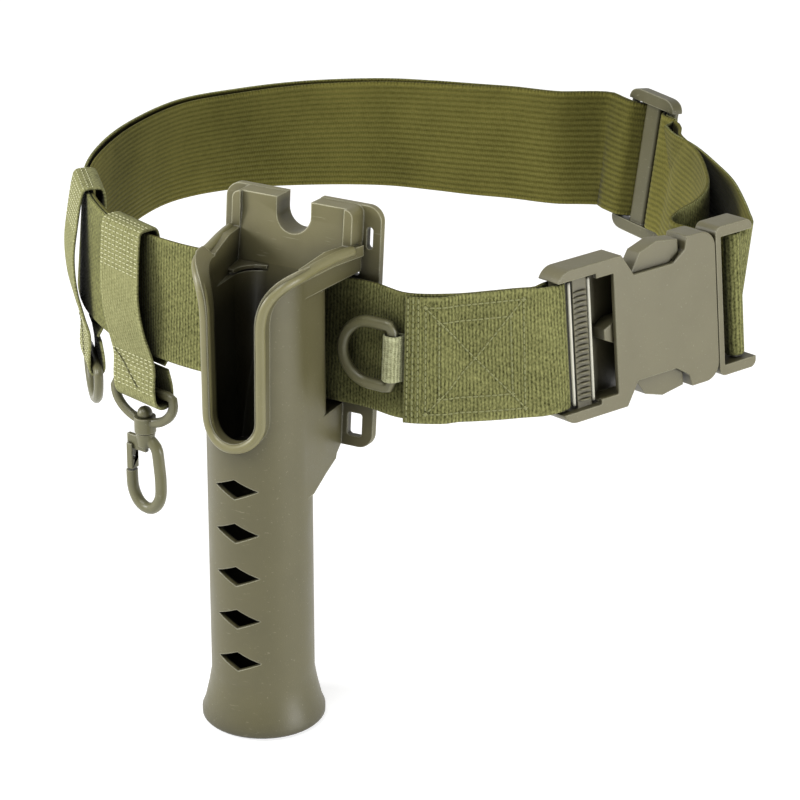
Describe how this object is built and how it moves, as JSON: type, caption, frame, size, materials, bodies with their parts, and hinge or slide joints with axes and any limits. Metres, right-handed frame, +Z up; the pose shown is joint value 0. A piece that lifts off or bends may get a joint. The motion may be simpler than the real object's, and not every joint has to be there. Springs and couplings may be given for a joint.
{
  "type": "fishing fighting belt",
  "caption": "Webbing waist belt with side release buckle that carries a moulded rod holder cup, a slider, a sewn D-ring, a hanging D-ring and a swivel snap hook.",
  "frame": {"origin": "middle of the waist hollow at the strap's mid height, where the belt is worn", "axes": "+Z up, the rod holder faces -Y, the buckle is at +X (the wearer's left)"},
  "size_m": [0.295, 0.2932, 0.2034],
  "materials": {
    "strap_webbing": "matte woven",
    "hanger_webbing": "matte woven",
    "moulded_plastic": "satin moulded",
    "hardware_plastic": "satin moulded"
  },
  "bodies": {
    "root": {"belt_strap": "strap_webbing", "rod_holder": "moulded_plastic", "buckle_socket": "moulded_plastic", "buckle_plug": "moulded_plastic", "slider": "moulded_plastic", "ring_tab": "hanger_webbing", "hanger_a": "hanger_webbing", "hanger_b": "hanger_webbing"},
    "strap_ring": {"belt_ring": "hardware_plastic"},
    "hanging_ring": {"drop_ring": "hardware_plastic"},
    "eye": {"hook_eye": "hardware_plastic"},
    "hook": {"hook_body": "hardware_plastic"},
    "gate": {"hook_gate": "hardware_plastic"}
  },
  "joints": [
    {"name": "strap_ring_hinge", "type": "hinge", "parent": "root", "child": "strap_ring", "pos_m": [0.0455, -0.11832, 0.00032], "axis": [0.007, 0.07, 0.9975], "range_deg": [0, 120]},
    {"name": "hanging_ring_swing", "type": "hinge", "parent": "root", "child": "hanging_ring", "pos_m": [-0.10995, -0.08005, -0.0445], "axis": [-0.6363, 0.7714, 0], "range_deg": [-40, 40]},
    {"name": "eye_swing", "type": "hinge", "parent": "root", "child": "eye", "pos_m": [-0.07159, -0.10409, -0.0415], "axis": [-0.9837, 0.1799, 0], "range_deg": [-40, 40]},
    {"name": "hook_swivel", "type": "hinge", "parent": "eye", "child": "hook", "pos_m": [-0.07159, -0.10409, -0.06], "axis": [0, 0, 1], "continuous": true},
    {"name": "gate_hinge", "type": "hinge", "parent": "hook", "child": "gate", "pos_m": [-0.07867, -0.1028, -0.06806], "axis": [-0.1799, -0.9837, 0], "range_deg": [0, 25], "stiffness_Nm_per_rad": 0.02}
  ]
}
